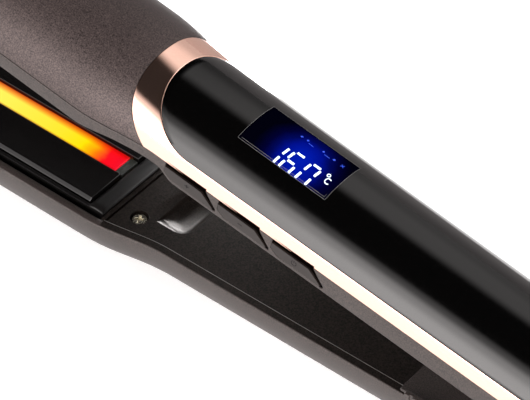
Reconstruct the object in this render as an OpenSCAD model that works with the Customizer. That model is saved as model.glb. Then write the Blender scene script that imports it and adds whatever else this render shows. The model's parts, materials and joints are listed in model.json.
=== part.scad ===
// Hair styling iron with two long arms joined by a hinge at the cord end.
// Millimetres. +Z is up, the tip points to -X and the cord end to +X, the buttons are on the -Y side.
// The tool rests on the flat strip of its lower arm, with the upper arm sprung open.
// Both arms are drawn in arm coordinates: z = 0 is the rim plane and +z goes into the arm.

/* [Overall] */
// Length from the tip to the end of the cord outlet
tool_len = 312; // [310:0.5:314]
// Distance from the hinge pin's axis to the end of the cord outlet
hinge_back = 22; // [22:0.1:22.4]
// Angle of the open jaw at rest, in degrees
jaw_open = 9.14; // [8:0.02:9.3]
// Gap between the two rims when the jaw is closed
rim_gap = 3; // [3:0.05:3.3]

/* [Arms] */
// Half of the barrel's width
barrel_r = 20.2; // [20.1:0.1:20.6]
// Half of the handle's width at its front end
grip_r = 17.2; // [17.1:0.05:17.4]
// Loss of half width for each millimetre of handle towards the hinge
grip_taper = 0.0115; // [0.0105:0.0005:0.012]
// Depth of the lower arm below its rim
lower_depth = 17.5; // [17.4:0.1:18.2]
// Height of the handle's black panel above the upper rim
panel_rise = 16.5; // [16.4:0.1:17]
// Height of the upper barrel above the upper rim
barrel_rise = 18.2; // [18.1:0.1:18.8]

/* [Heating plates] */
// Length of each plate
plate_len = 93.4; // [92:0.2:93.4]
// Half of each plate's width
plate_r = 15.1; // [14.6:0.1:15.2]
// How far each plate stands proud of its rim
plate_proud = 1.35; // [1.2:0.05:1.35]
// Half width of the glowing strip in the lower plate
strip_r = 3.09; // [2.6:0.01:3.1]
// Travel of each sprung plate
plate_float = 1; // [0.6:0.1:1]

/* [Controls] */
// Spacing of the three buttons
button_pitch = 16.5; // [16.4:0.1:16.8]
// Travel of a button
button_travel = 0.6; // [0.3:0.1:0.6]
// Length of the display window
window_len = 26.6; // [24:0.2:27]
// Half of the display window's width
window_r = 6.76; // [6:0.02:6.8]
// Travel of the travel lock
lock_travel = 5; // [4:0.5:5]

/* [Hinge and cord outlet] */
// Radius of the hinge pin
pin_r = 2; // [1.8:0.05:2.05]
// Radial clearance of the hinge and the swivel
run_gap = 0.05; // [0.03:0.01:0.08]
// Radius of the cord's hole
cord_r = 3.3; // [3:0.1:3.6]

/* [Hidden] */

eps = 0.01;
seam = 0.3;               // degrees of section left open between two skins, about 0.1 mm

// Planes and axes
tip_x = -tool_len / 2;
rear_x = tool_len / 2;
hinge_x = rear_x - hinge_back;
low_rim = lower_depth;
up_rim = lower_depth + rim_gap;
hinge_z = lower_depth + rim_gap / 2;

// Stations along the arms
tip_start = tip_x + 18;   // where the nose starts to round
low_shoulder = -46.5;     // where the lower arm starts to narrow
up_shoulder = -51.5;      // where the upper arm starts to narrow
shoulder_len = 23;
handle_x = -21;           // front end of the tapering handle
tail_end = rear_x - 6;    // end of the shells, the rear cap follows
grip_end = hinge_x - 13;  // end of the upper arm
skin_end = grip_end - 2;  // end of its skins, the end cap follows
grip_round = 13.6;
tail_front = hinge_x - 6.5;

// Sections
sec_n = 2.15;             // exponent of the section curve
barrel_n = 1.98;          // exponent of the upper barrel's rounder section
strip_cut = 1.1;          // depth cut off the round bottom, which leaves the flat strip
waist_depth = 16.7;       // depth of the lower arm's handle, clear of the table
waist_start = -52.5;
shell_t = 2.3;
cover_inset = 2.5;
frame_t = 2;
skin_t = 1.8;
edge_deg = 78;            // section angle of the frame's upper edge
panel_deg = 64.3;         // section angle of the panel's lower edge
lip_drop = 1.4;           // how far the handle's side wall hangs below the rim
lip_lift = 1.2;           // how far the side wall's edge rises above the rim along the shoulder

// Shoulder curves of the gold band
arch_top = -41.5;         // outer edge of the band on the centre line
panel_top = -35.4;        // inner edge of the band on the centre line
arch_run = 9.75;          // length of the outer edge's curve along the arm
arch_pow = 2.68;
panel_run = 16;

// Colours
gunmetal = [0.36, 0.34, 0.33];
warm_grey = [0.43, 0.40, 0.39];
rose_gold = [0.86, 0.62, 0.50];
jet = [0.03, 0.03, 0.035];
board_green = [0.10, 0.32, 0.20];
steel = [0.72, 0.72, 0.74];
zinc = [0.62, 0.60, 0.55];

function clamp01(t) = min(1, max(0, t));
function smooth(t) = let (c = clamp01(t)) c * c * (3 - 2 * c);
function mix(a, b, t) = a + (b - a) * t;
function spow(v, e) = sign(v) * pow(abs(v), e);

// Rounding factors at the nose, at the upper arm's rear end and at the tail
function nose(x) = x >= tip_start ? 1
  : max(0.02, pow(max(0, 1 - pow((tip_start - x) / (tip_start - tip_x), 3)), 1 / 3));
function rear_f(x) = let (u = (x - grip_end + 13) / grip_round)
  u <= 0 ? 1 : pow(1 - pow(u, 2.6), 1 / 2.6);
function tail_f(x) = let (u = (x - hinge_x - 4) / 20)
  u <= 0 ? 1 : pow(1 - pow(u, 2.6), 1 / 2.6);

// Half widths and heights along the arms
function grip_w(x) = grip_r - grip_taper * (x - handle_x);
function blend_x(x, start) = smooth((x - start) / shoulder_len);
function arm_w(x, start) = mix(barrel_r, grip_w(x), blend_x(x, start)) * nose(x);
function low_w(x) = arm_w(x, low_shoulder) * tail_f(x);
function waist(x) = blend_x(x, waist_start) * (1 - smooth((x - 70) / 40));
function low_d(x) = (mix(lower_depth + strip_cut, waist_depth, waist(x)) - 1.5 * smooth((-70 - x) / 80))
  * nose(x) * tail_f(x);
function up_w(x) = arm_w(x, up_shoulder) * mix(1, rear_f(x), 0.35);
function up_h(x) = mix(barrel_rise - 2.4 * smooth((-60 - x) / 80), panel_rise, blend_x(x, up_shoulder))
  * nose(x) * rear_f(x);
function up_n(x) = mix(barrel_n, sec_n, blend_x(x, up_shoulder));
function panel_w(x) = grip_w(x) * mix(1, rear_f(x), 0.35);
function panel_h(x) = panel_rise * rear_f(x);

// A point of the section curve, a degrees from the centre line, -Y side first
function sec(x, a, w, h, n = sec_n) = [x, w * spow(sin(a), 2 / n), h * pow(abs(cos(a)), 2 / n)];
// The same on the upper arm's wall, t inside its outer face
function up_sec(x, a, t) = let (xi = max(x, tip_x + t))
  sec(xi, a, max(0.2, up_w(x) - t), max(0.2, up_h(x) - t), up_n(x));
function steps(a, b, n) = [for (i = [0 : n]) a + (b - a) * i / n];
function nose_steps() = [for (u = [1, 0.985, 0.95, 0.88, 0.78, 0.64, 0.45, 0.22])
  tip_start - (tip_start - tip_x) * u];
function flat_len(grid) = [for (row = grid) for (p = row) p];

// Closed solid between two grids of points. Rows run along +X, columns from -Y over the top to +Y.
module skin_pair(outer, inner) {
  n = len(outer) - 1;
  m = len(outer[0]) - 1;
  base = (n + 1) * (m + 1);
  function o(i, j) = i * (m + 1) + j;
  function q(i, j) = base + i * (m + 1) + j;
  function quad(a, b, c, d) = [[a, b, c], [a, c, d]];
  faces = concat(
    [for (i = [0 : n - 1]) for (j = [0 : m - 1])
      for (t = quad(o(i, j), o(i, j + 1), o(i + 1, j + 1), o(i + 1, j))) t],
    [for (i = [0 : n - 1]) for (j = [0 : m - 1])
      for (t = quad(q(i, j), q(i + 1, j), q(i + 1, j + 1), q(i, j + 1))) t],
    [for (i = [0 : n - 1]) for (t = quad(o(i, 0), o(i + 1, 0), q(i + 1, 0), q(i, 0))) t],
    [for (i = [0 : n - 1]) for (t = quad(q(i, m), q(i + 1, m), o(i + 1, m), o(i, m))) t],
    [for (j = [0 : m - 1]) for (t = quad(q(0, j), q(0, j + 1), o(0, j + 1), o(0, j))) t],
    [for (j = [0 : m - 1]) for (t = quad(q(n, j + 1), q(n, j), o(n, j), o(n, j + 1))) t]
  );
  polyhedron(points = concat(flat_len(outer), flat_len(inner)), faces = faces, convexity = 6);
}

// Round wire bent along a list of points, with k sides
module wire(path, r, k = 8) {
  n = len(path);
  function dir(i) = let (a = path[max(0, i - 1)], b = path[min(n - 1, i + 1)]) (b - a) / norm(b - a);
  function side(d) = abs(d.z) > 0.9 ? [1, 0, 0] : [0, 0, 1];
  rings = [for (i = [0 : n - 1])
    let (d = dir(i), u0 = cross(d, side(d)), u = u0 / norm(u0), v = cross(d, u))
    [for (j = [0 : k - 1]) path[i] + r * (cos(360 * j / k) * u + sin(360 * j / k) * v)]];
  faces = concat(
    [[for (j = [0 : k - 1]) j]],
    [for (i = [0 : n - 2]) for (j = [0 : k - 1]) let (e = (j + 1) % k)
      for (t = [[i * k + j, (i + 1) * k + j, (i + 1) * k + e], [i * k + j, (i + 1) * k + e, i * k + e]]) t],
    [[for (j = [k - 1 : -1 : 0]) (n - 1) * k + j]]
  );
  polyhedron(points = flat_len(rings), faces = faces, convexity = 8);
}

// Arm coordinates of the lower arm, and of the upper arm at its open rest
module lower() {
  translate([0, 0, low_rim]) mirror([0, 0, 1]) children();
}
module upper() {
  translate([hinge_x, 0, hinge_z]) rotate([0, jaw_open, 0])
    translate([-hinge_x, 0, up_rim - hinge_z]) children();
}

module box(x0, x1, y0, y1, z0, z1) {
  translate([x0, y0, z0]) cube([x1 - x0, y1 - y0, z1 - z0]);
}
module both_sides() {
  children();
  mirror([0, 1, 0]) children();
}
// Bar along X with the section given as [y, z] points
module bar_x(x0, x1, pts) {
  translate([x0, 0, 0]) rotate([90, 0, 90]) linear_extrude(x1 - x0) polygon(pts);
}
// Plate across Y with the outline given as [x, z] points
module plate_y(y0, y1, pts) {
  translate([0, y1, 0]) rotate([90, 0, 0]) linear_extrude(y1 - y0) polygon(pts);
}
module rod_x(x0, x1, r, y = 0, z = 0) {
  translate([x0, y, z]) rotate([0, 90, 0]) cylinder(h = x1 - x0, r = r, $fn = 32);
}
module rod_y(y0, y1, r, x, z) {
  translate([x, y1, z]) rotate([90, 0, 0]) cylinder(h = y1 - y0, r = r, $fn = 48);
}

// ---------- lower arm ----------

low_stations = concat(nose_steps(), steps(tip_start, low_shoulder, 8),
  steps(low_shoulder + 3, handle_x, 6), steps(handle_x + 20, 60, 4), steps(70, 110, 5),
  steps(hinge_x - 12, hinge_x + 4, 2),
  steps(hinge_x + 7, tail_end, 4));
flat_deg = acos(pow(lower_depth / (lower_depth + strip_cut), sec_n / 2));
low_angles = concat(steps(-90, -flat_deg, 7), [-flat_deg / 2, 0, flat_deg / 2], steps(flat_deg, 90, 7));

// Section of the lower arm, t inside its outer face, with its bottom cut flat
function low_sec(x, a, t) = let (
    p = sec(max(x, tip_x + t), a, max(0.2, low_w(x) - t), max(0.2, low_d(x) - t))
  ) [p.x, p.y, min(p.z, lower_depth - t)];

module lower_shell() {
  function rows(t) = [for (x = low_stations) [for (a = low_angles) low_sec(x, a, t)]];
  color(warm_grey) lower() skin_pair(rows(0), rows(shell_t));
}

cover_front = -43.2;
plate_rear = -48.9;
plate_front = plate_rear - plate_len;
carrier_front = plate_front - 2.2;
carrier_rear = cover_front - 0.3;
screw_at = [for (x = [-36, 96]) for (s = [-1, 1]) [x, s * (x < 0 ? 11.2 : 8.6)]];
groove_x = -42.1;
scoop_x = [-31.85, -22.4];
scoop_half = 9.5;
scoop_depth = 2.3;
spring_x = hinge_x - 25.4;
slot_x = 54.4;
slot_half = 2.4;

module cover_plate(inset, thick, rear, shoulder) {
  xs = concat(steps(cover_front, handle_x, 10), steps(handle_x + 10, rear, 8));
  near = [for (x = xs) [x, inset - arm_w(x, shoulder)]];
  far = [for (i = [len(xs) - 1 : -1 : 0]) [xs[i], arm_w(xs[i], shoulder) - inset]];
  linear_extrude(thick) polygon(concat(near, far));
}
// Crescent that closes the nose of an arm between its shell and the carrier
module tip_plate() {
  xs = [for (u = [1, 0.94, 0.8, 0.55, 0.2, 0]) carrier_front - 0.2 - (carrier_front - tip_x - 2.9) * u];
  near = [for (x = xs) [x, min(-2, cover_inset + 0.3 - low_w(x))]];
  far = [for (i = [len(xs) - 1 : -1 : 0]) [xs[i], max(2, low_w(xs[i]) - cover_inset - 0.3)]];
  linear_extrude(1.2) polygon(concat(near, far));
}
module lower_tip_cover() {
  color(jet) lower() tip_plate();
}
module upper_tip_cover() {
  color(jet) upper() tip_plate();
}
module screw_holes(thick) {
  for (p = screw_at) translate([p.x, p.y, -eps]) {
    cylinder(h = 1.9, r = 2.4, $fn = 32);
    cylinder(h = thick + 3, r = 1.3, $fn = 32);
  }
}

// Radius of the arc that is half a chord wide and this deep in the middle
function arc_r(half, deep) = (half * half + deep * deep) / (2 * deep);

// Finger scoop: a shallow hollow, deepest at its square front end and rising to its rounded rear end
module scoop() {
  len = scoop_x[1] - scoop_x[0];
  r_side = arc_r(scoop_half, scoop_depth);
  r_rear = arc_r(len, scoop_depth);
  corner = 4;
  round_end = [for (a = steps(-90, 90, 12)) [
    scoop_x[1] - corner * (1 - cos(a)),
    (scoop_half - corner) * sign(a) + corner * sin(a)
  ]];
  intersection() {
    translate([scoop_x[0] - 1, 0, scoop_depth - r_side]) rotate([0, 90, 0])
      cylinder(h = len + 2, r = r_side, $fn = 180);
    translate([scoop_x[0], 20, scoop_depth - r_rear]) rotate([90, 0, 0])
      cylinder(h = 40, r = r_rear, $fn = 180);
    translate([0, 0, -1]) linear_extrude(4)
      polygon(concat([[scoop_x[0], scoop_half], [scoop_x[0], -scoop_half]], round_end));
  }
}

module lower_inner_cover() {
  color(gunmetal) lower() difference() {
    union() {
      cover_plate(cover_inset, 2, hinge_x - 16, low_shoulder);
      box(scoop_x[0] - 1.2, scoop_x[1] + 1.2, -10.6, 10.6, 1, 3.5);
      for (p = screw_at) translate([p.x, p.y, 1]) cylinder(h = 2.4, r = 3, $fn = 32);
    }
    scoop();
    screw_holes(3);
    box(groove_x, groove_x + 0.7, -30, 30, -1, 0.9);
    box(slot_x, slot_x + 6.2 + lock_travel, -slot_half, slot_half, -1, 4);
    translate([spring_x, 0, -1]) cylinder(h = 5, r = 5.4, $fn = 48);
  }
}

module cross_screw(head_r, head_h, shank_r, shank_len) {
  difference() {
    union() {
      cylinder(h = head_h, r = head_r, $fn = 32);
      translate([0, 0, head_h]) cylinder(h = shank_len, r = shank_r, $fn = 24);
    }
    for (a = [0, 90]) rotate([0, 0, a]) box(-head_r * 0.62, head_r * 0.62, -0.28, 0.28, -1, 0.7);
  }
}
module cover_screw_set() {
  for (p = screw_at) translate([p.x, p.y, 0.55]) rotate([0, 0, 25]) cross_screw(1.85, 1.3, 1.1, 5.6);
}
module lower_cover_screws() {
  color(zinc) lower() cover_screw_set();
}
module lower_screw_posts() {
  color(warm_grey) lower() for (p = screw_at) translate([p.x, p.y, 3.5]) difference() {
    cylinder(h = 5, r = 2.7, $fn = 32);
    translate([0, 0, -eps]) cylinder(h = 4.3, r = 1.15, $fn = 24);
  }
}

module carrier() {
  rail = plate_r + 0.35;
  out = plate_r + 1.3;
  section = [
    [-out, -0.3], [-out, 4], [1 - plate_r, 7], [plate_r - 1, 7], [out, 4], [out, -0.3],
    [rail, -0.3], [rail, 4.1], [14, 5.5], [-14, 5.5], [-rail, 4.1], [-rail, -0.3]
  ];
  bar_x(carrier_front, carrier_rear, section);
  box(carrier_front, carrier_front + 1.8, -rail - eps, rail + eps, -0.3, 5.6);
  box(plate_rear + 0.6, carrier_rear, -rail - eps, rail + eps, -0.3, 5.6);
}
module lower_plate_carrier() {
  color(jet) lower() carrier();
}
module upper_plate_carrier() {
  color(jet) upper() carrier();
}

// Bent leaf springs between a clamp and the carrier's floor
module leaf_springs() {
  t = 0.35;
  half = 9;
  rise = 1.6;
  function arc(z0) = [for (x = steps(-half, half, 12)) [x, z0 - rise * (1 - pow(x / half, 2))]];
  low_edge = arc(4.45 + plate_float);
  high_edge = arc(4.45 + plate_float - t);
  outline = concat(low_edge, [for (i = [len(high_edge) - 1 : -1 : 0]) high_edge[i]]);
  for (x = [-122, -72]) both_sides() translate([x, 0, 0]) plate_y(6, 12, outline);
}
module lower_plate_springs() {
  color(steel) lower() leaf_springs();
}
module upper_plate_springs() {
  color(steel) upper() leaf_springs();
}

module power_board() {
  color(board_green) lower() difference() {
    box(68, 96, -9, 9, 9.2, 10.4);
    for (x = [70.5, 93.5]) translate([x, 0, 0]) cylinder(h = 20, r = 1.1, $fn = 24);
  }
}
module power_capacitor() {
  color("darkgoldenrod") lower() translate([76, -2, 3.4]) box(0, 10, -4, 4, 0, 5.8);
}
module power_triac() {
  color(jet) lower() {
    box(87.5, 92, -5, 5, 4.6, 8.6);
    for (y = [-2.5, 0, 2.5]) translate([89, y, 8.6]) cylinder(h = 0.6, r = 0.4, $fn = 16);
  }
}
module lower_leads() {
  color("firebrick") lower() for (y = [-4.6, 4.6])
    wire([
      [-41, y, 8.5], [-30, y, 10], [0, y, 11.5], [50, y, 11.6], [95, y, 11.6], [105, 0.9 * y, 12]
    ], 0.9);
}

// ---------- hinge ----------

cheek_in = 10.8;
cheek_out = 12.2;
ear_in = 8.2;
ear_out = 10.4;
base_z = 5.1;             // depth of the bracket's base below the lower rim
bracket_x = [101.5, hinge_x + 9];

module hinge_bracket() {
  hz = -rim_gap / 2;
  foot = base_z + 0.8;
  cheek = [[hinge_x - 8, foot], [hinge_x - 4.4, hz], [hinge_x + 4.4, hz], [hinge_x + 8, foot]];
  color(steel) lower() difference() {
    union() {
      box(bracket_x[0], bracket_x[1], -11.4, 11.4, base_z, base_z + 1.6);
      both_sides() {
        plate_y(cheek_in, cheek_out, cheek);
        rod_y(cheek_in, cheek_out, 4.5, hinge_x, hz);
      }
      translate([spring_x, 0, base_z - 1.2]) cylinder(h = 1.3, r = 2.4, $fn = 32);
    }
    rod_y(-20, 20, pin_r + 0.02, hinge_x, hz);
    for (y = [-6.5, 6.5]) translate([hinge_x - 16, y, 0]) cylinder(h = 20, r = 1.4, $fn = 24);
    for (y = [-6.5, 6.5]) translate([hinge_x + 6, y, 0]) cylinder(h = 20, r = 1.4, $fn = 24);
  }
}
module bracket_screws() {
  color(zinc) lower() for (x = [hinge_x - 16, hinge_x + 6]) for (y = [-6.5, 6.5])
    translate([x, y, base_z - 1.25]) cross_screw(2.2, 1.2, 1.15, 4.4);
}
module hinge_pin() {
  color(steel) rod_y(-13, 13, pin_r, hinge_x, hinge_z);
}
module pin_rings() {
  color(jet) both_sides() difference() {
    rod_y(cheek_out + 0.08, cheek_out + 0.6, 3.1, hinge_x, hinge_z);
    rod_y(0, 20, pin_r + 0.02, hinge_x, hinge_z);
  }
}
module jaw_spring() {
  turns = 5.5;
  coil_r = 3.5;
  z0 = low_rim - base_z + 0.6;
  z1 = hinge_z + 8.9;
  color(steel) wire([for (i = [0 : 12 * turns])
    [spring_x + 0.5 + coil_r * cos(30 * i), coil_r * sin(30 * i), mix(z0, z1, i / (12 * turns))]], 0.5, 6);
}

tail_stations = concat(steps(tail_front, hinge_x + 4, 3), steps(hinge_x + 7, tail_end, 4));
tail_rise = 15;
tail_n = 2.6;
module tail_housing() {
  function tail_pt(x, a, w, h) = [x, w * spow(sin(a), 2 / tail_n), h * pow(abs(cos(a)), 2 / tail_n)];
  function tail_h(x) = tail_rise * tail_f(x) * mix(0.93, 1, smooth((x - tail_front) / 10));
  angles = steps(-90, 90, 18);
  outer = [for (x = tail_stations) [for (a = angles) tail_pt(x, a, low_w(x), tail_h(x))]];
  inner = [for (x = tail_stations) [for (a = angles) tail_pt(x, a, low_w(x) - 1.9, tail_h(x) - 1.9)]];
  color(gunmetal) translate([0, 0, low_rim + 0.1]) skin_pair(outer, inner);
}
module rear_cap() {
  w = low_w(tail_end);
  h = tail_rise * tail_f(tail_end);
  d = low_d(tail_end);
  function rim_pt(a) = cos(a) >= 0
    ? [w * spow(sin(a), 2 / tail_n), h * pow(abs(cos(a)), 2 / tail_n)]
    : [w * spow(sin(a), 2 / sec_n), -d * pow(abs(cos(a)), 2 / sec_n)];
  ring = [for (i = [0 : 47]) rim_pt(7.5 * i)];
  small = 0.93 * ring;
  color(warm_grey) translate([0, 0, low_rim]) difference() {
    union() {
      bar_x(tail_end + 0.15, tail_end + 2, ring);
      bar_x(tail_end + 1.9, tail_end + 3, small);
      rod_x(tail_end - 1.2, tail_end + 1, 9.8);
    }
    rod_x(tail_end - 5, tail_end + 5, swivel_r + run_gap);
  }
}

swivel_r = 6.3;
module cord_swivel() {
  color(jet) translate([0, 0, low_rim]) difference() {
    union() {
      rod_x(tail_end - 5, rear_x, swivel_r);
      rod_x(tail_end + 3.3, rear_x, 7.3);
    }
    rod_x(tail_end - 6, rear_x + 1, cord_r);
    for (i = [0 : 11]) rotate([30 * i, 0, 0]) box(tail_end + 4.2, rear_x + 1, 7, 8, -0.45, 0.45);
  }
}
module swivel_clip() {
  color(steel) translate([0, 0, low_rim]) difference() {
    rod_x(tail_end - 3.2, tail_end - 1.6, 8.6);
    rod_x(tail_end - 4, tail_end, swivel_r);
  }
}

// ---------- plates and heaters ----------

module bevel_plate(r, x0, x1) {
  bar_x(x0, x1, [
    [-r, 0.65], [-r, 0.1 - plate_proud * 0.4], [0.9 - r, -plate_proud], [r - 0.9, -plate_proud],
    [r, 0.1 - plate_proud * 0.4], [r, 0.65]
  ]);
}
heater_x = [-135, -60];

module lower_plate() {
  color([0.09, 0.09, 0.10]) lower() difference() {
    bevel_plate(plate_r, plate_front, plate_rear);
    box(plate_front + 2.2, plate_rear + 1, -strip_r - 0.35, strip_r + 0.35, -3, 2);
  }
}
module ir_window() {
  color([0.95, 0.30, 0.08]) lower() box(plate_front + 2.6, -51.4, -strip_r, strip_r, -0.66, 0.5);
}
module ir_end_block() {
  color([0.32, 0.33, 0.30]) lower() {
    box(-51.2, plate_rear, -strip_r, strip_r, -0.55, 1.2);
  }
}
module ir_emitter() {
  color([0.9, 0.55, 0.3]) lower() {
    rod_x(-138, -54, 1.4, 0, 2.45);
    rod_x(-140.5, -137.5, 1.7, 0, 2.45);
    rod_x(-54.5, -52, 1.7, 0, 2.45);
  }
}
module ir_reflector() {
  o = strip_r + 0.45;
  color(steel) lower() bar_x(-141, -51.6, [
    [-o, 0.75], [-o, 3.2], [-2, 4.45], [2, 4.45], [o, 3.2], [o, 0.75],
    [o - 0.3, 0.75], [o - 0.3, 3.05], [1.9, 4.2], [-1.9, 4.2], [0.3 - o, 3.05], [0.3 - o, 0.75]
  ]);
}
module lower_heaters() {
  color([0.75, 0.73, 0.68]) lower() both_sides() box(heater_x[0], heater_x[1], 4.6, 13.4, 0.65, 2.65);
}
module upper_heater() {
  color([0.75, 0.73, 0.68]) upper() box(heater_x[0], heater_x[1], -10, 10, 0.65, 2.65);
}
module lower_insulator() {
  color([0.8, 0.65, 0.35]) lower() both_sides()
    box(heater_x[0] - 1, heater_x[1] + 1, 4.2, 13.6, 2.65, 3);
}
module upper_insulator() {
  color([0.8, 0.65, 0.35]) upper() box(heater_x[0] - 1, heater_x[1] + 1, -11, 11, 2.65, 3);
}
module lower_clamp() {
  color(steel) lower() difference() {
    box(-139, -57, -13.4, 13.4, 3, 3.45);
    box(-136.5, -59.5, -3.9, 3.9, 2, 4);
    box(-150, -40, -3.9, 3.9, 2, 4);
  }
}
module upper_clamp() {
  color(steel) upper() difference() {
    box(-139, -57, -13.4, 13.4, 3, 3.45);
    for (x = [-110, -84]) box(x, x + 12, -3, 3, 2, 4);
  }
}
module fuse() {
  rod_x(-57.5, -51, 1.1, 9, 1.8);
  rod_x(-58.6, -57.4, 0.35, 9, 1.8);
  rod_x(-51.1, -50, 0.35, 9, 1.8);
}
module lower_thermal_fuse() {
  color(zinc) lower() fuse();
}
module upper_thermal_fuse() {
  color(zinc) upper() fuse();
}
module sensor() {
  translate([-54, -9, 0.65]) cylinder(h = 1.7, r = 1.2, $fn = 32);
}
module lower_temp_sensor() {
  color([0.15, 0.2, 0.5]) lower() sensor();
}
module upper_temp_sensor() {
  color([0.15, 0.2, 0.5]) upper() sensor();
}
module upper_plate() {
  color([0.09, 0.09, 0.10]) upper() bevel_plate(plate_r, plate_front, plate_rear);
}

// ---------- upper arm ----------

// x of the gold band's outer and inner edges for a section angle a
function arch_x(a) = arch_top + arch_run * pow(abs(a) / edge_deg, arch_pow);
function panel_x(b) = panel_top + panel_run * (1 - cos(b));
side_xs = concat(steps(skin_end, grip_end - 11, 4), steps(grip_end - 14, handle_x + 16, 6));

module barrel_shell() {
  angles = steps(seam - edge_deg, edge_deg - seam, 20);
  nose_u = [for (x = nose_steps()) (x - tip_x) / (arch_top - tip_x)];
  us = concat(nose_u, steps(0.17, 1, 9));
  function bx(u, a) = tip_x + (arch_x(a) - 0.1 - tip_x) * u;
  function rows(t) = [for (u = us) [for (a = angles) up_sec(bx(u, a), a, t)]];
  color(gunmetal) upper() skin_pair(rows(0), rows(frame_t));
}

// Height of the side wall's lower edge
function lip(x) = lip_lift * smooth((x - up_shoulder) / 13) - (lip_lift + lip_drop) * smooth((x + 27) / 5.2);

// Section of the frame's wall, t inside its outer face, on the side of sign s
function frame_row(x, s, t) = let (
    top = up_sec(x, edge_deg, t),
    mid = up_sec(x, 84, t),
    foot = up_sec(x, 90, t)
  ) [for (p = [[foot.x, foot.y, lip(x)], [foot.x, foot.y, max(0, lip(x) + 0.3)], mid, top])
    [p.x, s * p.y, p.z]];
frame_stations = concat(nose_steps(), steps(tip_start, up_shoulder, 6),
  steps(up_shoulder + 3, -30, 6), steps(-27, -21, 5), steps(-10, grip_end - 14, 6),
  steps(grip_end - 11, skin_end, 4));

// U-shaped wall from the far rear end round the nose to the near rear end
module upper_frame() {
  n = len(frame_stations);
  function rows(t) = concat(
    [for (i = [n - 1 : -1 : 0]) frame_row(frame_stations[i], 1, t)],
    [for (x = frame_stations) frame_row(x, -1, t)]);
  color(warm_grey) upper() difference() {
    skin_pair(rows(0), rows(frame_t));
    for (x = button_x) translate([x, 0, 0]) plate_y(-25, -8, button_gap);
  }
}
module ear_slots() {
  both_sides() box(grip_end - 6, grip_end + 5, ear_in - 0.4, ear_out + 0.4, -3, 6.4);
}

module gold_band() {
  arch_n = 24;
  a_xs = concat(side_xs, steps(handle_x + 10, arch_x(edge_deg) + 1.2, 5));
  b_xs = concat(side_xs, steps(handle_x + 12, panel_x(90) + 0.8, 5));
  a_sides = [for (x = a_xs) [x, -edge_deg + seam]];
  b_sides = [for (x = b_xs) [x, -panel_deg - seam]];
  a_arch = [for (a = steps(seam - edge_deg, edge_deg - seam, arch_n)) [arch_x(a), a]];
  b_arch = [for (b = steps(-90, 90, arch_n)) [panel_x(b) - 0.1, (panel_deg + seam) * sin(b)]];
  function back(v) = [for (i = [len(v) - 1 : -1 : 0]) [v[i][0], -v[i][1]]];
  a_path = concat(a_sides, a_arch, back(a_sides));
  b_path = concat(b_sides, b_arch, back(b_sides));
  function edges(t) = [
    [for (p = a_path) up_sec(p[0], p[1], t)],
    [for (p = b_path) sec(p[0], p[1], panel_w(p[0]) - t, panel_h(p[0]) - t)]
  ];
  color(rose_gold) upper() skin_pair(edges(0), edges(1.6));
}

window_x = [0.9 - window_len / 2, 0.9 + window_len / 2];
module gloss_panel() {
  betas = steps(-90, 90, 24);
  us = concat(steps(0, 0.9, 9), [0.925, 0.95, 0.975, 1]);
  function px(u, b) = mix(panel_x(b), skin_end, u);
  function row(u, t) = [for (b = betas) let (x = px(u, b))
    sec(x, panel_deg * sin(b), panel_w(x) - t, panel_h(x) - t)];
  color(jet) upper() difference() {
    skin_pair([for (u = us) row(u, 0)], [for (u = us) row(u, skin_t)]);
    box(window_x[0], window_x[1], -window_r, window_r, 8, 20);
  }
}
module grip_end_cap() {
  function ring(x, k) = concat(
    [for (a = steps(-90, 90, 24)) let (p = up_sec(x, a, 0)) k * [p.y, p.z]],
    [k * [up_w(x), lip(x)], k * [-up_w(x), lip(x)]]);
  color(jet) upper() difference() {
    union() {
      bar_x(skin_end + 0.1, skin_end + 1.1, ring(skin_end, 1));
      bar_x(skin_end + 1, grip_end, ring(skin_end + 1, 0.97));
    }
    ear_slots();
  }
}
module display_lens() {
  gap = 0.12;
  ys = steps(gap - window_r, window_r - gap, 8);
  xs = steps(window_x[0] + gap, window_x[1] - gap, 3);
  function lens_pt(x, y, t) = let (side = pow(abs(y) / (panel_w(x) - t), sec_n))
    [x, y, (panel_h(x) - t) * pow(1 - side, 1 / sec_n)];
  color([0.05, 0.08, 0.25]) upper() skin_pair(
    [for (x = xs) [for (y = ys) lens_pt(x, y, 0.08)]],
    [for (x = xs) [for (y = ys) lens_pt(x, y, 1.2)]]);
}
module display_module() {
  color([0.02, 0.04, 0.12]) upper() box(window_x[0] - 0.6, window_x[1] + 0.6, -7.6, 7.6, 10.6, 12.8);
}
module display_backlight() {
  color([0.2, 0.4, 1]) upper() box(window_x[0], window_x[1], -7, 7, 9.5, 10.5);
}
board_holes = [for (x = [-19, 40]) for (y = [-7.4, 7.4]) [x, y]];
module main_board() {
  color(board_green) upper() difference() {
    box(-22, 44, -11, 11, 8.2, 9.4);
    for (p = board_holes) translate([p.x, p.y, 5]) cylinder(h = 10, r = 1.1, $fn = 24);
  }
}
module board_screws() {
  color(zinc) upper() for (p = board_holes) translate([p.x, p.y, 10.6]) mirror([0, 0, 1])
    cross_screw(1.8, 1.15, 0.9, 4.5);
}

// Outline of a button's face and of its opening in the frame, from the button's front edge
button_top = 2.95;
button_low = -0.35;
button_x = [for (i = [0 : 2]) -24.7 + i * button_pitch];
button_face = [
  [0.15, 1.05], [0.15, button_top], [11.4, button_top], [15.2, 0.3], [15.2, button_low], [2.3, button_low]
];
gap_low = button_low - 0.15;
button_gap = [
  [0, 0.95], [0, 8], [12.5, 8], [12.5, 3.65], [16.1, 0.35], [16.1, gap_low], [2.15, gap_low]
];

module button(i) {
  x = button_x[i];
  face = -grip_w(x + 8) - 0.15;
  color(warm_grey) upper() translate([x, 0, 0]) {
    plate_y(face, -14.75, button_face);
    rod_y(-14.8, -14.2, 0.7, 7, 2.2);
  }
}
module plus_button() { button(0); }
module minus_button() { button(1); }
module power_button() { button(2); }

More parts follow.
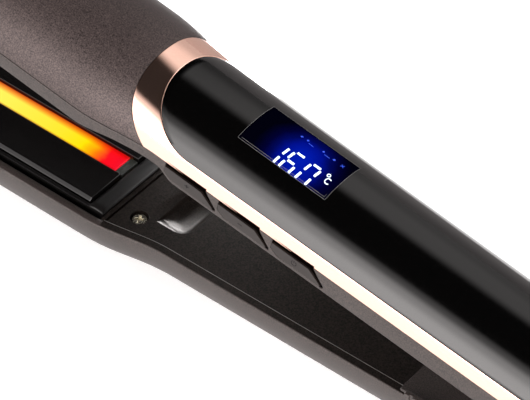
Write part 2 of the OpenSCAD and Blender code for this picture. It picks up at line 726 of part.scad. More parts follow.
module button_board() {
  color(board_green) upper() box(-24, 25, -10.6, -9.6, 1.5, 7);
}
module tact_switches() {
  color(jet) upper() for (x = button_x) translate([x + 7, 0, 0]) {
    box(-2.2, 2.2, -12.6, -10.65, 1.5, 5.2);
    rod_y(button_travel - 13.9, -12.5, 0.9, 0, 2.6);
  }
}

module upper_inner_cover() {
  color(gunmetal) upper() difference() {
    union() {
      cover_plate(2.35, 1.2, grip_end - 15, up_shoulder);
      for (p = screw_at) translate([p.x, p.y, 1]) cylinder(h = 2.4, r = 3, $fn = 32);
      for (p = board_holes) translate([p.x, p.y, 1]) cylinder(h = 7.1, r = 2, $fn = 24);
    }
    box(-26, 26, -25, -13.9, -1, 3);
    screw_holes(3);
    for (p = board_holes) translate([p.x, p.y, 3]) cylinder(h = 10, r = 0.95, $fn = 24);
    box(slot_x - 1, slot_x + 11 + lock_travel, -5, 5, -1, 4);
    translate([spring_x, 0, -1]) cylinder(h = 5, r = 6, $fn = 48);
  }
}
module upper_cover_screws() {
  color(zinc) upper() cover_screw_set();
}
module lock_catch() {
  color(steel) upper() difference() {
    box(slot_x - 2.4, slot_x + 19, -8, 8, 1.25, 2.25);
    box(slot_x, slot_x + 4.2 + lock_travel, -slot_half, slot_half, 0, 4);
  }
}
module upper_leads() {
  color("ivory") upper() for (y = [-4, 4])
    wire([[-42, y, 8], [-34, y, 6.6], [-20, y, 5.6], [20, y, 5.4], [50, y, 5.6], [92, y, 6.2]], 0.8);
}
module hinge_ears() {
  ear = [
    [102, 3.4], [102, 5.7], [grip_end - 2, 5.4], [hinge_x, 3.4], [hinge_x - 3.6, -5.6], [grip_end - 3, 1.4]
  ];
  color(steel) upper() difference() {
    union() {
      box(98, grip_end - 3.5, -ear_out, ear_out, 4.2, 5.7);
      both_sides() {
        plate_y(ear_in, ear_out, ear);
        rod_y(ear_in, ear_out, 5.2, hinge_x, -rim_gap / 2);
      }
    }
    rod_y(-20, 20, pin_r + run_gap, hinge_x, -rim_gap / 2);
  }
}

// Sliding travel lock: a plate across the arm's rim, side grips, a guided foot and a hook
lock_x = 49.2;
module lock_slider() {
  reach = 18.2;
  grip_in = 16.75;
  color(warm_grey) translate([lock_x, 0, low_rim]) {
    box(0, 16.8, -15.9, 15.9, 0.2, 1.1);
    box(2.8, 13.8, -reach, reach, 0.2, 1.1);
    both_sides() difference() {
      box(2.8, 13.8, grip_in, reach, -2, 3.2);
      for (i = [0 : 3]) box(4.3 + 2.4 * i, 5.1 + 2.4 * i, reach - 0.4, reach + 1, -3, 4);
    }
    box(5.9, 8.9, -1.9, 1.9, -2.5, 7.6);
    box(5.9, 11.3, -1.9, 1.9, 6.4, 7.6);
    box(5.9, 10.2, -1.9, 1.9, -2.5, 0.3);
    box(5.9, 10.2, -3.8, 3.8, -3.7, -2.4);
  }
}

lower_shell();
lower_inner_cover();
lower_cover_screws();
lower_screw_posts();
lower_plate_carrier();
lower_plate_springs();
power_board();
power_capacitor();
power_triac();
lower_leads();
hinge_bracket();
bracket_screws();
hinge_pin();
pin_rings();
jaw_spring();
tail_housing();
rear_cap();
lower_plate();
ir_window();
ir_end_block();
ir_emitter();
ir_reflector();
lower_heaters();
lower_insulator();
lower_clamp();
lower_thermal_fuse();
lower_temp_sensor();
barrel_shell();
upper_frame();
gold_band();
gloss_panel();
display_lens();
display_module();
display_backlight();
main_board();
board_screws();
button_board();
tact_switches();
upper_inner_cover();
upper_cover_screws();
upper_plate_carrier();
upper_plate_springs();
upper_leads();
hinge_ears();
lock_catch();
upper_plate();
upper_heater();
upper_insulator();
upper_clamp();
upper_thermal_fuse();
upper_temp_sensor();
lower_tip_cover();
upper_tip_cover();
grip_end_cap();
plus_button();
minus_button();
power_button();
lock_slider();
cord_swivel();
swivel_clip();
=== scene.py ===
import json
import math

import bmesh
import bpy
import numpy as np
from mathutils import Matrix, Vector


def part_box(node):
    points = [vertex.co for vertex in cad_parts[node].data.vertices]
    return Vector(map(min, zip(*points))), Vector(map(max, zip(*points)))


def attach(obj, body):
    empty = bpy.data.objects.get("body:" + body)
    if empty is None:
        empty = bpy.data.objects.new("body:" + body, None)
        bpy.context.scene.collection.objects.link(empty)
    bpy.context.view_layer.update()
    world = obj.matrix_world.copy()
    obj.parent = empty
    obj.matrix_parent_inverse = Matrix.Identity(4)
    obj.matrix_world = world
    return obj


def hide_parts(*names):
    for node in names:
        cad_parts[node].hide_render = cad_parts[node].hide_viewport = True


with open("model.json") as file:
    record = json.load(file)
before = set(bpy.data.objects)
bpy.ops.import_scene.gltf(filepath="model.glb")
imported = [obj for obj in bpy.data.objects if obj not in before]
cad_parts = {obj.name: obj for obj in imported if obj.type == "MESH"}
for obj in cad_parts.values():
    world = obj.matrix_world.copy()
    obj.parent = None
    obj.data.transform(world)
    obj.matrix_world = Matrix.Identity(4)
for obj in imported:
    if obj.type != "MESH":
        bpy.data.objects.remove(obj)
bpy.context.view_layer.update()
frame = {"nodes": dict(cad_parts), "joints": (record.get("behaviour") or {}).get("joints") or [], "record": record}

# Hair styling iron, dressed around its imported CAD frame.
# Lengths are millimetres until MM turns them into metres.
MM = 0.001

# ---------------------------------------------------------------- measures read from the frame
joints = {j["name"]: j for j in frame["joints"]}


def corners(node):
    """Lowest and highest corner of a CAD node."""
    low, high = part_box(node)
    return low / MM, high / MM


shell_low, shell_high = corners("lower_shell")
TIP_X = shell_low.x
TAIL_END = shell_high.x
BARREL_R = shell_high.y
LOW_RIM = shell_high.z
hinge = [c / MM for c in joints["jaw_hinge"]["pos_m"]]
HINGE_X, HINGE_Z = hinge[0], hinge[2]
JAW_OPEN = math.radians(max(joints["jaw_hinge"]["range_deg"]))
RIM_GAP = 2 * (HINGE_Z - LOW_RIM)
PLATE_REAR = corners("lower_plate")[1].x
CARRIER_HIGH = corners("lower_plate_carrier")[1]

# ---------------------------------------------------------------- the arms' shape, as the frame has it
TIP_START = TIP_X + 18        # where the nose starts to round
NOSE_LEAST = 0.02             # share of the section that is left at the very tip
LOW_LEAST = 0.1               # smallest half width and height inside the walls there
UP_LEAST = 0.2
LOW_SHOULDER = -46.5          # where each arm starts to narrow
UP_SHOULDER = -51.5
SHOULDER_LEN = 23.0
HANDLE_X = -21.0              # front end of the tapering handle
GRIP_END = HINGE_X - 13       # end of the upper arm
GRIP_ROUND_X = GRIP_END - 13  # where its rear end starts to round
GRIP_ROUND_LEN = 13.6
SKIN_END = GRIP_END - 2       # end of its skins, the end cap follows
TAIL_FRONT = HINGE_X - 6.5
TAIL_ROUND_X = HINGE_X + 4    # where the tail starts to round
TAIL_ROUND_LEN = 20.0
ROUND_POW = 2.6               # exponent of both rear roundings
GRIP_R = 17.2                 # half width of the handle's front end
GRIP_TAPER = 0.0115
REAR_NARROWING = 0.35         # share of the rear rounding that narrows the upper arm
PANEL_RISE = 16.5             # height of the black panel above the upper rim
BARREL_RISE = 18.2            # height of the upper barrel above it
TIP_TAPER_LEN = 80.0          # run over which each arm gets thinner towards the tip
LOW_TAPER = (-70.0, 1.5)      # where the lower arm's taper starts, and what it takes off
UP_TAPER = (-60.0, 2.4)
SEC_N = 2.15                  # exponent of the section curve
BARREL_N = 1.98               # exponent of the barrel's rounder section
STRIP_CUT = 1.1               # depth cut off the round bottom, which leaves the flat strip
WAIST_DEPTH = 16.7            # depth of the lower arm's handle
WAIST_START = -52.5
WAIST_END = 70.0              # where the handle gets deeper again, towards the tail
WAIST_END_LEN = 40.0
EDGE_DEG = 78.0               # section angle of the frame's upper edge
PANEL_DEG = 64.3              # section angle of the panel's lower edge
SEAM_DEG = 0.3                # degrees of section left open between two skins
LIP_DROP = 1.4                # how far the handle's side wall hangs below the rim
LIP_DROP_X = -27.0
LIP_DROP_LEN = 5.2
LIP_LIFT = 1.2                # how far its edge rises above the rim along the shoulder
LIP_LIFT_LEN = 13.0
LIP_SHARE = 0.3               # share of the side wall's stations that the lip takes
ARCH_TOP = -41.5              # outer edge of the gold band on the centre line
ARCH_RUN = 9.75
ARCH_POW = 2.68
PANEL_TOP = -35.4             # inner edge of the gold band on the centre line
PANEL_RUN = 16.0
TAIL_RISE = 15.0
TAIL_N = 2.6                  # exponent of the tail's section
TAIL_LIP = 0.93               # share of the tail's height at its front end
TAIL_LIP_LEN = 10.0
SKIN_GAP = 0.1                # gap between two skins, along the arm
TABLE_FLAT_DEG = math.degrees(math.acos((LOW_RIM / (LOW_RIM + STRIP_CUT)) ** (SEC_N / 2)))

# ---------------------------------------------------------------- controls, in the upper arm's coordinates
KEY_NAMES = ("plus", "minus", "power")
KEY_PITCH = 16.5
KEY_X = [-24.7 + KEY_PITCH * i for i in range(len(KEY_NAMES))]
KEY_MIDDLE = 8.0              # middle of a key, from its own front end
KEY_PROUD = 0.15              # how far a key stands out of the side wall
KEY_CUT_Y = (-25.0, -8.0)     # how far the cutters reach through the side wall
GAP_SHADE_SUNK = 0.35              # how far the face of the painted gap shade lies inside the wall's
GAP_SHADE_BACK_Y = -14.9
MARK_AT = (7.2, 1.45)         # middle of a key's mark, from the key's front end and the rim
MARK_R = 0.65
POWER_MARK_R = 0.74
WINDOW_X = (-12.4, 14.2)
WINDOW_R = 6.76
WINDOW_CORNER = 0.35
WINDOW_CUT_Z = (8.0, 20.0)
LENS_GAP = 0.12
LENS_SUNK = 0.08
RIM_LINE_X = (-42.0, 112.0)   # ends of the lines along the lower cover

# Outlines round a key as [x, z] from its front end: the opening in the side wall, the dark fill
# that paints the shade in it, and the hole that the key moves in
OPENING = [(0, 0.95), (0, 8), (12.5, 8), (12.5, 3.65), (16.1, 0.35), (16.1, -0.5), (2.15, -0.5)]
GAP_SHADE = [(0.05, 1.0), (0.05, 4.3), (12.45, 4.3), (12.45, 3.6), (16.03, 0.33), (16.03, -0.44), (2.2, -0.44)]
KEY_HOLE = [(0.1, 1.02), (0.1, 3.0), (11.43, 3.0), (15.26, 0.33), (15.26, -0.38), (2.27, -0.38)]


# ---------------------------------------------------------------- widths, heights and sections
def smooth(t):
    t = np.clip(t, 0, 1)
    return t * t * (3 - 2 * t)


def mix(a, b, t):
    return a + (b - a) * t


def line(a, b, n):
    """n equal steps from a to b, with both ends."""
    return list(np.linspace(a, b, n + 1))


def nose(x):
    """Rounding factor at the tip."""
    u = np.clip((TIP_START - x) / (TIP_START - TIP_X), 0, 1)
    return np.maximum(NOSE_LEAST, (1 - u**3) ** (1 / 3))


def rounding(x, start, length):
    """Rounding factor at a rear end."""
    u = np.clip((x - start) / length, 0, 1)
    return (1 - u**ROUND_POW) ** (1 / ROUND_POW)


def rear_f(x):
    return rounding(x, GRIP_ROUND_X, GRIP_ROUND_LEN)


def tail_f(x):
    return rounding(x, TAIL_ROUND_X, TAIL_ROUND_LEN)


def taper(x, start, loss):
    """Height lost towards the tip."""
    return loss * smooth((start - x) / TIP_TAPER_LEN)


def grip_w(x):
    return GRIP_R - GRIP_TAPER * (x - HANDLE_X)


def blend(x, shoulder):
    """0 on the barrel, 1 on the handle."""
    return smooth((x - shoulder) / SHOULDER_LEN)


def arm_w(x, shoulder):
    return mix(BARREL_R, grip_w(x), blend(x, shoulder)) * nose(x)


def low_w(x):
    return arm_w(x, LOW_SHOULDER) * tail_f(x)


def low_d(x):
    """Depth of the lower arm's round section, before its bottom is cut flat."""
    waist = blend(x, WAIST_START) * (1 - smooth((x - WAIST_END) / WAIST_END_LEN))
    return (mix(LOW_RIM + STRIP_CUT, WAIST_DEPTH, waist) - taper(x, *LOW_TAPER)) * nose(x) * tail_f(x)


def up_w(x):
    return arm_w(x, UP_SHOULDER) * mix(1, rear_f(x), REAR_NARROWING)


def up_h(x):
    rise = BARREL_RISE - taper(x, *UP_TAPER)
    return mix(rise, PANEL_RISE, blend(x, UP_SHOULDER)) * nose(x) * rear_f(x)


def up_n(x):
    return mix(BARREL_N, SEC_N, blend(x, UP_SHOULDER))


def panel_w(x):
    return grip_w(x) * mix(1, rear_f(x), REAR_NARROWING)


def panel_h(x):
    return PANEL_RISE * rear_f(x)


def spow(v, e):
    """Power that keeps the sign."""
    return np.sign(v) * np.abs(v) ** e


def sec(x, a, w, h, n=SEC_N):
    """A point of the section curve, a degrees from the centre line."""
    r = np.radians(a)
    y = w * spow(np.sin(r), 2 / n)
    z = h * np.abs(np.cos(r)) ** (2 / n)
    return np.stack(np.broadcast_arrays(x, y, z), -1)


def up_sec(x, a, t):
    """A point of the upper arm's wall, t inside its outer face."""
    w = np.maximum(UP_LEAST, up_w(x) - t)
    h = np.maximum(UP_LEAST, up_h(x) - t)
    return sec(np.maximum(x, TIP_X + t), a, w, h, up_n(x))


def arch_x(a):
    """Outer edge of the gold band, by the section angle."""
    return ARCH_TOP + ARCH_RUN * (np.abs(a) / EDGE_DEG) ** ARCH_POW


def panel_x(b):
    """Its inner edge, b being -90 at one side of the panel and 90 at the other."""
    return PANEL_TOP + PANEL_RUN * (1 - np.cos(np.radians(b)))


def lower(p):
    """Arm coordinates, z into the arm from its rim plane, to the frame's."""
    return np.stack([p[..., 0], p[..., 1], LOW_RIM - p[..., 2]], -1)


def upper(p):
    """The same for the upper arm, held open by the jaw's angle."""
    x, z = p[..., 0] - HINGE_X, p[..., 2] + RIM_GAP / 2
    c, s = math.cos(JAW_OPEN), math.sin(JAW_OPEN)
    return np.stack([HINGE_X + x * c + z * s, p[..., 1], HINGE_Z - x * s + z * c], -1)


# ---------------------------------------------------------------- node helpers
def feed(tree, value, socket):
    """Links another node's output to a socket, or sets the socket."""
    if isinstance(value, bpy.types.NodeSocket):
        tree.links.new(value, socket)
    else:
        socket.default_value = value


def node(tree, kind, settings=None, **inputs):
    """A node with its inputs fed by name, or by number as i0, i1 and so on."""
    made = tree.nodes.new(kind)
    for key, value in (settings or {}).items():
        setattr(made, key, value)
    for key, value in inputs.items():
        numbered = key[0] == "i" and key[1:].isdigit()
        feed(tree, value, made.inputs[int(key[1:]) if numbered else key.replace("_", " ")])
    return made


def maths(tree, operation, *values):
    made = node(tree, "ShaderNodeMath", {"operation": operation})
    for value, socket in zip(values, made.inputs):
        feed(tree, value, socket)
    return made.outputs[0]


def ramp(tree, fac, stops, interpolation="LINEAR"):
    """A colour ramp through (place, colour) stops."""
    made = node(tree, "ShaderNodeValToRGB", Fac=fac)
    made.color_ramp.interpolation = interpolation
    while len(made.color_ramp.elements) < len(stops):
        made.color_ramp.elements.new(0.5)
    for element, (at, colour) in zip(made.color_ramp.elements, stops):
        element.position = at
        element.color = (*colour, 1)
    return made.outputs["Color"]


def grey(v):
    return (v, v, v)


def noise(tree, where, scale, detail=2.0, rough=0.5):
    made = node(tree, "ShaderNodeTexNoise", Vector=where, Scale=scale, Detail=detail, Roughness=rough)
    return made.outputs["Fac"]


def spread(tree, value, to=(0.0, 1.0), source=(0.0, 1.0)):
    """A value's source range stretched over another range."""
    made = node(tree, "ShaderNodeMapRange", Value=value, From_Min=source[0], From_Max=source[1],
                To_Min=to[0], To_Max=to[1])
    return made.outputs[0]


def multiply(tree, one, other):
    """Two colours multiplied."""
    made = node(tree, "ShaderNodeMix", {"data_type": "RGBA", "blend_type": "MULTIPLY"},
                Factor=1.0, i6=one, i7=other)
    return made.outputs[2]


def unevenness(tree, value, amount, base):
    """A value with a noise of the given amount added to it."""
    return maths(tree, "MULTIPLY_ADD", maths(tree, "SUBTRACT", value, 0.5), amount, base)


# ---------------------------------------------------------------- materials
GRAIN_RANGE = (0.3, 0.7)      # where most of a noise's values lie


def start(name):
    """A new material with its tree, its shader and object coordinates."""
    m = bpy.data.materials.new(name)
    m.use_nodes = True
    t = m.node_tree
    t.nodes.clear()
    result = t.nodes.new("ShaderNodeOutputMaterial")
    shader = t.nodes.new("ShaderNodeBsdfPrincipled")
    t.links.new(shader.outputs[0], result.inputs[0])
    where = t.nodes.new("ShaderNodeTexCoord").outputs["Object"]
    return m, t, shader, where


def surface(name, dark, light, grain, metallic=0.0, rough=(0.4, 0.5), bump=None,
            contrast=(0.35, 0.65), specular=0.5):
    """A moulded, painted or machined surface: grain in its colour, roughness and relief,
    and a slow drift over the part. bump is the relief's strength and height."""
    m, t, shader, where = start(name)
    fine = noise(t, where, grain, 3.0, 0.6)
    slow = noise(t, where, 25.0)
    tint = ramp(t, fine, [(contrast[0], dark), (contrast[1], light)])
    drift = ramp(t, slow, [(GRAIN_RANGE[0], grey(0.90)), (GRAIN_RANGE[1], grey(1.0))])
    t.links.new(multiply(t, tint, drift), shader.inputs["Base Color"])
    t.links.new(spread(t, fine, rough, GRAIN_RANGE), shader.inputs["Roughness"])
    shader.inputs["Metallic"].default_value = metallic
    shader.inputs["Specular IOR Level"].default_value = specular
    if bump:
        relief = node(t, "ShaderNodeBump", Height=fine, Strength=bump[0], Distance=bump[1])
        t.links.new(relief.outputs[0], shader.inputs["Normal"])
    return m


def brushed(name, dark, light, rough, stretch, grain):
    """Metal with fine lines along the part."""
    m, t, shader, where = start(name)
    lines = node(t, "ShaderNodeMapping", Vector=where, Scale=stretch)
    fine = noise(t, lines.outputs[0], grain, 4.0, 0.6)
    t.links.new(ramp(t, fine, list(zip(GRAIN_RANGE, (dark, light)))), shader.inputs["Base Color"])
    t.links.new(spread(t, fine, rough, GRAIN_RANGE), shader.inputs["Roughness"])
    shader.inputs["Metallic"].default_value = 1.0
    relief = node(t, "ShaderNodeBump", Height=fine, Strength=0.05, Distance=0.00002)
    t.links.new(relief.outputs[0], shader.inputs["Normal"])
    return m


def lit(name, colour, strength):
    """A surface that shines by itself."""
    m, t, shader, where = start(name)
    grain = noise(t, where, 1500.0, 1.0)
    dim = [c * 0.9 for c in colour]
    t.links.new(ramp(t, grain, list(zip(GRAIN_RANGE, (dim, colour)))), shader.inputs["Emission Color"])
    shader.inputs["Emission Strength"].default_value = strength
    shader.inputs["Base Color"].default_value = (*dim, 1)
    shader.inputs["Roughness"].default_value = 0.5
    return m


def metallic_paint(name):
    """The dark grainy paint of the barrel and the tail."""
    return surface(name, (0.012, 0.009, 0.009), (0.108, 0.080, 0.076), 3000.0, metallic=0.55,
                   rough=(0.36, 0.60), bump=(0.5, 0.00006), contrast=(0.32, 0.72))


# Colours of the infrared window: along it from its front end, and across it from its near edge
HEAT_ALONG = [
    (0.0, (0.75, 0.0, 0.01)), (0.06, (1.0, 0.05, 0.0)), (0.14, (1.0, 0.75, 0.0)), (0.5, (1.0, 0.93, 0.12)),
    (0.86, (1.0, 0.80, 0.0)), (0.915, (1.0, 0.22, 0.0)), (0.95, (1.0, 0.0, 0.012)), (1.0, (0.85, 0.0, 0.02))]
HEAT_ACROSS = [
    (0.0, (0.55, 0.2, 0.1)), (0.10, (1.0, 1.0, 1.0)), (0.62, (1.0, 1.0, 1.0)), (0.80, (1.0, 0.42, 0.35)),
    (1.0, (0.5, 0.04, 0.02))]


def glow_strip(name):
    """Infrared window: red at its ends, through orange to yellow, darker along its far edge."""
    m, t, shader, where = start(name)
    low, high = corners("ir_window")
    axes = node(t, "ShaderNodeSeparateXYZ", Vector=where)
    ripple = noise(t, where, 220.0)
    along = spread(t, axes.outputs[0], source=(low.x * MM, high.x * MM))
    heat = ramp(t, unevenness(t, ripple, 0.03, along), HEAT_ALONG)
    across = spread(t, axes.outputs[1], source=(low.y * MM, high.y * MM))
    edge = ramp(t, across, HEAT_ACROSS)
    t.links.new(multiply(t, heat, edge), shader.inputs["Emission Color"])
    shader.inputs["Emission Strength"].default_value = 1.0
    shader.inputs["Base Color"].default_value = (0.05, 0.004, 0.002, 1)
    t.links.new(spread(t, ripple, (0.12, 0.2)), shader.inputs["Roughness"])
    shader.inputs["Specular IOR Level"].default_value = 0.4
    return m


# Blue glow behind the digits: its middle, its reach along and across the arm, and its colours
# from the middle outwards
GLOW_MIDDLE = (3.0, -2.4, 15.6)
GLOW_REACH = (12.0, 13.0)
GLOW_COLOURS = [
    (0.0, (0.0, 0.012, 0.44)), (0.21, (0.0, 0.009, 0.38)), (0.42, (0.0, 0.005, 0.27)),
    (0.58, (0.0, 0.002, 0.095)), (0.75, (0.0, 0.0, 0.028)), (0.92, (0.0, 0.0, 0.009)),
    (1.0, (0.0, 0.0, 0.003))]


def lens_glass(name):
    """Dark display window with a blue glow round its digits."""
    m, t, shader, where = start(name)
    middle = (upper(np.array(GLOW_MIDDLE)) * MM).tolist()
    lean = node(t, "ShaderNodeVectorRotate", {"rotation_type": "Y_AXIS"}, Vector=where, Center=middle,
                Angle=-JAW_OPEN)
    shift = node(t, "ShaderNodeVectorMath", {"operation": "SUBTRACT"}, i0=lean.outputs[0], i1=middle)
    per_reach = [1 / (reach * MM) for reach in GLOW_REACH]
    shrink = node(t, "ShaderNodeVectorMath", {"operation": "MULTIPLY"}, i0=shift.outputs[0],
                  i1=(*per_reach, 0))
    distance = node(t, "ShaderNodeVectorMath", {"operation": "LENGTH"}, i0=shrink.outputs[0])
    cloud = noise(t, where, 300.0)
    blue = ramp(t, unevenness(t, cloud, 0.12, distance.outputs["Value"]), GLOW_COLOURS)
    t.links.new(blue, shader.inputs["Emission Color"])
    shader.inputs["Emission Strength"].default_value = 1.0
    shader.inputs["Base Color"].default_value = (0.0003, 0.0003, 0.0005, 1)
    t.links.new(spread(t, cloud, (0.1, 0.16)), shader.inputs["Roughness"])
    shader.inputs["Specular IOR Level"].default_value = 0.0
    return m


mats = {
    # paint and moulded plastic
    "barrel_paint": metallic_paint("paint_gunmetal"),
    "grey_shell": surface("shell_warm_grey", (0.013, 0.010, 0.009), (0.058, 0.044, 0.040), 2800.0,
                          metallic=0.25, rough=(0.40, 0.56), bump=(0.4, 0.00005)),
    "tail_paint": metallic_paint("paint_tail"),
    "black_gloss": surface("gloss_black", (0.0002, 0.0002, 0.0002), (0.0004, 0.0003, 0.0003), 900.0,
                           rough=(0.10, 0.14)),
    "inner_cover": surface("cover_matte", (0.004, 0.003, 0.0025), (0.030, 0.021, 0.017), 2600.0,
                           metallic=0.65, rough=(0.28, 0.38), bump=(0.3, 0.00003)),
    "black_plastic": surface("plastic_black", (0.0018, 0.0015, 0.0015), (0.004, 0.0035, 0.0035), 2500.0,
                             rough=(0.32, 0.42), bump=(0.05, 0.00001)),
    "button": surface("button_grey", (0.014, 0.0098, 0.0084), (0.021, 0.0150, 0.0130), 3200.0,
                      metallic=0.3, rough=(0.34, 0.44), bump=(0.06, 0.00001), specular=0.35),
    # painted shade: near-black fill that stands in for the shadowed gaps round the keys
    "gap": surface("gap_painted_shade", (0.0008, 0.0005, 0.0004), (0.0014, 0.0009, 0.0008), 2000.0,
                   rough=(0.6, 0.7), specular=0.0),
    "end_block": surface("block_grey_green", (0.012, 0.013, 0.011), (0.022, 0.024, 0.020), 2200.0,
                         rough=(0.4, 0.55)),
    # plates and metals
    "plate": surface("plate_ceramic", (0.0022, 0.0018, 0.0018), (0.0045, 0.0040, 0.0040), 1800.0,
                     rough=(0.12, 0.20), specular=0.45),
    "rose_gold": brushed("metal_rose_gold", (0.88, 0.56, 0.45), (0.92, 0.60, 0.49), (0.09, 0.12),
                         (1, 6, 6), 900.0),
    "steel": brushed("metal_steel", (0.52, 0.52, 0.53), (0.68, 0.68, 0.69), (0.25, 0.36), (1, 5, 5), 800.0),
    "screw": brushed("metal_screw", (0.50, 0.46, 0.36), (0.72, 0.68, 0.56), (0.18, 0.30), (4, 4, 1), 900.0),
    # lines and marks: the light lines are painted highlights along edges, the marks are print
    # painted highlight: light grey for the catch light on the shell's inner edge
    "edge_highlight": surface("painted_edge_highlight", (0.30, 0.28, 0.27), (0.38, 0.36, 0.35), 1500.0, metallic=0.6,
                    rough=(0.3, 0.4)),
    # painted highlight: light grey for the display window's edges catching the light
    "edge_light_line": surface("painted_window_highlight", (0.20, 0.20, 0.20), (0.26, 0.26, 0.26), 1500.0, metallic=0.4,
                     rough=(0.22, 0.3)),
    "mark": surface("printed_mark", (0.0015, 0.0012, 0.0012), (0.003, 0.0025, 0.0025), 2000.0,
                    rough=(0.5, 0.6), specular=0.1),
    # inside the arms
    "display": surface("display_module", (0.004, 0.006, 0.03), (0.008, 0.012, 0.05), 900.0,
                       rough=(0.3, 0.4)),
    "board": surface("board_green", (0.010, 0.060, 0.030), (0.016, 0.090, 0.045), 1200.0,
                     rough=(0.35, 0.5)),
    "heater": surface("heater_ceramic", (0.52, 0.50, 0.45), (0.60, 0.58, 0.53), 1500.0,
                      rough=(0.6, 0.75), bump=(0.1, 0.00003)),
    "insulator": surface("insulator_amber", (0.42, 0.24, 0.06), (0.52, 0.32, 0.10), 800.0,
                         rough=(0.3, 0.45)),
    "sensor": surface("sensor_body", (0.05, 0.06, 0.14), (0.08, 0.09, 0.20), 1000.0, rough=(0.3, 0.4)),
    "wire": surface("wire_sleeve", (0.50, 0.06, 0.04), (0.60, 0.09, 0.06), 1500.0, rough=(0.45, 0.6)),
    # what shines
    "ir_glow": lit("emitter_glow", (1.0, 0.55, 0.12), 1.5),
    "strip": glow_strip("infrared_window"),
    "lens": lens_glass("display_glass"),
    "digit": lit("digit_white", (0.76, 0.92, 1.0), 1.05),
    "dim_mark": lit("mark_blue", (0.010, 0.05, 0.55), 0.42),
}

# ---------------------------------------------------------------- how a piece is made
BODY = {name: body for body, names in frame["record"]["behaviour"]["bodies"].items() for name in names}
SHARP = math.radians(32)       # edges sharper than this are shaded as edges
SOFTENED = math.radians(35)    # edges of a CAD shape sharper than this are bevelled
FLAT = math.radians(1)         # its faces that turn by less are joined
SAME_POINT = 2e-6              # its points closer than this, in metres, are one
ROUND_STEPS = 3                # steps of a rounded edge
NOSE_STEPS = 14
NOSE_FIRST = 0.9995            # how far up the nose the first station stands
OUTER_ROUND = 0.49             # deepest rounding of the outer face, as a share of the wall
INNER_ROUND = 0.2              # the same on the inner face
CORNER_ROUND = 0.3             # share of the shallower rounding that is added to the deeper one


def place(obj, body, mat, nodes=()):
    obj.data.materials.clear()
    obj.data.materials.append(mats[mat])
    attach(obj, body)
    if nodes:
        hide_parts(*nodes)
    return obj


def to_object(name, bm, sharp=SHARP):
    bmesh.ops.recalc_face_normals(bm, faces=bm.faces)
    for f in bm.faces:
        f.smooth = True
    mesh = bpy.data.meshes.new(name)
    bm.to_mesh(mesh)
    bm.free()
    mesh.set_sharp_from_angle(angle=sharp)
    obj = bpy.data.objects.new(name, mesh)
    bpy.context.scene.collection.objects.link(obj)
    return obj


def solid(name, outer, inner, move):
    """Closed shell between an outer and an inner grid of points."""
    rows, columns = outer.shape[:2]
    bm = bmesh.new()
    vo, vi = ([[bm.verts.new(p) for p in row] for row in move(grid) * MM] for grid in (outer, inner))
    for i in range(rows - 1):
        for j in range(columns - 1):
            bm.faces.new((vo[i][j], vo[i + 1][j], vo[i + 1][j + 1], vo[i][j + 1]))
            bm.faces.new((vi[i][j], vi[i][j + 1], vi[i + 1][j + 1], vi[i + 1][j]))
        bm.faces.new((vo[i][0], vi[i][0], vi[i + 1][0], vo[i + 1][0]))
        bm.faces.new((vo[i][-1], vo[i + 1][-1], vi[i + 1][-1], vi[i][-1]))
    for j in range(columns - 1):
        bm.faces.new((vo[0][j], vo[0][j + 1], vi[0][j + 1], vi[0][j]))
        bm.faces.new((vo[-1][j], vi[-1][j], vi[-1][j + 1], vo[-1][j + 1]))
    return to_object(name, bm)


def rounded(stops, inset, r):
    """Stations with both end edges rounded over the given inset, and how deep r goes at each."""
    turn = [math.pi / 2 * i / ROUND_STEPS for i in range(ROUND_STEPS + 1)]
    first, last = stops[0] + inset, stops[-1] - inset
    found = [(first - inset * math.sin(t), r * (1 - math.cos(t))) for t in reversed(turn)]
    found += [(s, 0.0) for s in stops if first < s < last]
    found += [(last + inset * math.sin(t), r * (1 - math.cos(t))) for t in turn]
    return np.array(found).T


def skin(name, point, us, vs, wall, r, du, dv, move):
    """Closed shell with rounded edges. point(u, v, t) is t below the outer face; du and dv are r in
    units of u and v, and du is None where the ends along u stay square."""
    row_u, row_depth = (us, np.zeros(len(us))) if du is None else rounded(us, du, r)
    col_v, col_depth = rounded(vs, dv, r)
    u, v = np.meshgrid(row_u, col_v, indexing="ij")
    at_row, at_col = np.meshgrid(row_depth, col_depth, indexing="ij")
    depth = np.maximum(at_row, at_col) + CORNER_ROUND * np.minimum(at_row, at_col)
    depth = np.minimum(depth, wall * OUTER_ROUND)
    inner_depth = wall - np.minimum(depth, wall * INNER_ROUND)
    return solid(name, point(u, v, depth), point(u, v, inner_depth), move)


def refine(node_name, name, bevel, mat=None):
    """A CAD node's shape as a clean mesh with its edges softened."""
    source = frame["nodes"][node_name]
    bm = bmesh.new()
    bm.from_mesh(source.data)
    bmesh.ops.remove_doubles(bm, verts=bm.verts, dist=SAME_POINT)
    bmesh.ops.dissolve_limit(bm, angle_limit=FLAT, verts=bm.verts, edges=bm.edges)
    for layer in list(bm.loops.layers.uv):
        bm.loops.layers.uv.remove(layer)
    obj = to_object(name, bm, SOFTENED)
    mod = obj.modifiers.new("edge", "BEVEL")
    mod.width = bevel * MM
    mod.segments = 2
    mod.limit_method = "ANGLE"
    mod.angle_limit = SOFTENED
    mod.use_clamp_overlap = True
    mod.harden_normals = True
    slot = source.data.materials[0].name
    return place(obj, BODY[node_name], mat or slot, [node_name])


def loft(name, rings):
    """Closed solid from two rings of points, each an outline of the same length."""
    bm = bmesh.new()
    first, last = ([bm.verts.new(p) for p in ring * MM] for ring in rings)
    bm.faces.new(first)
    bm.faces.new(last)
    for i in range(len(first)):
        j = (i + 1) % len(first)
        bm.faces.new((first[i], first[j], last[j], last[i]))
    return to_object(name, bm)


def key_prism(name, outline, x0, y0, y1):
    """Prism across the upper arm, its [x, z] outline moved to the key whose front end is x0."""
    return loft(name, [upper(np.array([[x0 + x, y, z] for x, z in outline])) for y in (y0, y1)])


